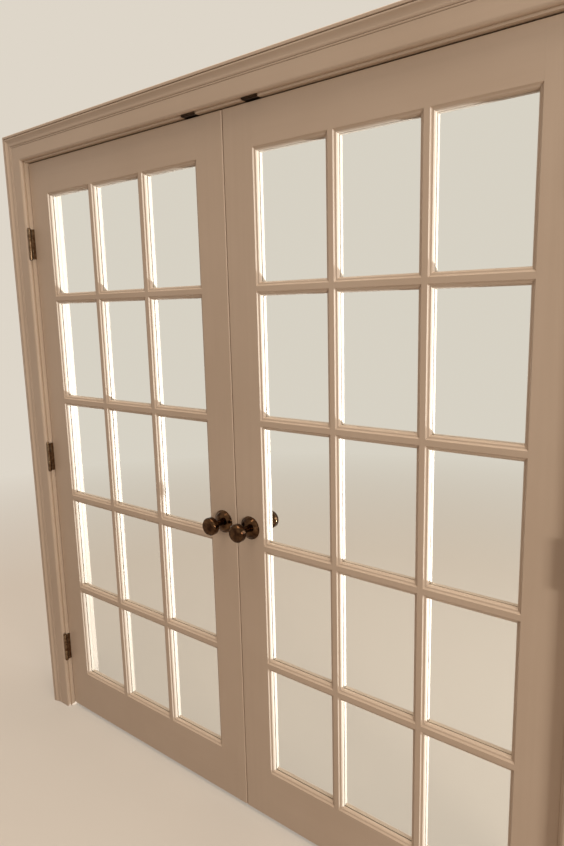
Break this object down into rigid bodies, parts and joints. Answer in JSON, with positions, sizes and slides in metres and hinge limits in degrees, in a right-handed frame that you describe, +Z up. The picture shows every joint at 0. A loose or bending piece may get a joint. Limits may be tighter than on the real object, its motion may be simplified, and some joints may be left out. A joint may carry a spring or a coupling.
{
  "type": "french doors",
  "caption": "Painted glazed wooden doors hinged at both sides of a cased frame, with small panes, round knobs and spring catches at the head.",
  "frame": {"origin": "middle of the footprint at floor level, halfway across the doorway and halfway through the depth", "axes": "+X across the doorway, +Y through it away from the side that the leaves open to, +Z up"},
  "size_m": [2.0144, 0.204, 2.142],
  "materials": {
    "painted_wood": "brush-painted warm white, satin",
    "clear_glass": "clear",
    "aged_brass": "antique brass, satin",
    "dark_bronze": "oil-rubbed bronze",
    "bright_steel": "plated"
  },
  "bodies": {
    "frame": {"head_jamb": "painted_wood", "head_stop": "painted_wood", "front_head_casing": "painted_wood", "back_head_casing": "painted_wood", "left_jamb": "painted_wood", "left_stop": "painted_wood", "left_front_casing": "painted_wood", "left_back_casing": "painted_wood", "left_jamb_hinge_leaves": "aged_brass", "left_hinge_pins": "aged_brass", "left_strike": "dark_bronze", "right_jamb": "painted_wood", "right_stop": "painted_wood", "right_front_casing": "painted_wood", "right_back_casing": "painted_wood", "right_jamb_hinge_leaves": "aged_brass", "right_hinge_pins": "aged_brass", "right_strike": "dark_bronze"},
    "left_leaf": {"left_hinge_stile": "painted_wood", "left_meeting_stile": "painted_wood", "left_top_rail": "painted_wood", "left_bottom_rail": "painted_wood", "left_upright_bars": "painted_wood", "left_cross_bars": "painted_wood", "left_panes": "clear_glass", "left_glazing_beads": "painted_wood", "left_door_hinge_leaves": "aged_brass", "left_rosettes": "aged_brass", "left_knobs": "aged_brass", "left_spindle": "bright_steel", "left_catch_housing": "aged_brass", "left_catch_spring": "bright_steel"},
    "left_catch": {"left_catch_plunger": "aged_brass"},
    "right_leaf": {"right_hinge_stile": "painted_wood", "right_meeting_stile": "painted_wood", "right_top_rail": "painted_wood", "right_bottom_rail": "painted_wood", "right_upright_bars": "painted_wood", "right_cross_bars": "painted_wood", "right_panes": "clear_glass", "right_glazing_beads": "painted_wood", "right_door_hinge_leaves": "aged_brass", "right_rosettes": "aged_brass", "right_knobs": "aged_brass", "right_spindle": "bright_steel", "right_catch_housing": "aged_brass", "right_catch_spring": "bright_steel"},
    "right_catch": {"right_catch_plunger": "aged_brass"}
  },
  "joints": [
    {"name": "left_leaf_swing", "type": "hinge", "parent": "frame", "child": "left_leaf", "pos_m": [-0.9107, -0.0525, 1.016], "axis": [0, 0, -1], "range_deg": [0, 170]},
    {"name": "right_leaf_swing", "type": "hinge", "parent": "frame", "child": "right_leaf", "pos_m": [0.9107, -0.0525, 1.016], "axis": [0, 0, 1], "range_deg": [0, 170]},
    {"name": "left_catch_press", "type": "slide", "parent": "left_leaf", "child": "left_catch", "axis": [0, 0, -1], "range_m": [0, 0.0045], "stiffness_N_per_m": 3000, "springref_m": -0.003, "deforming": ["left_catch_spring"]},
    {"name": "right_catch_press", "type": "slide", "parent": "right_leaf", "child": "right_catch", "axis": [0, 0, -1], "range_m": [0, 0.0045], "stiffness_N_per_m": 3000, "springref_m": -0.003, "deforming": ["right_catch_spring"]}
  ]
}
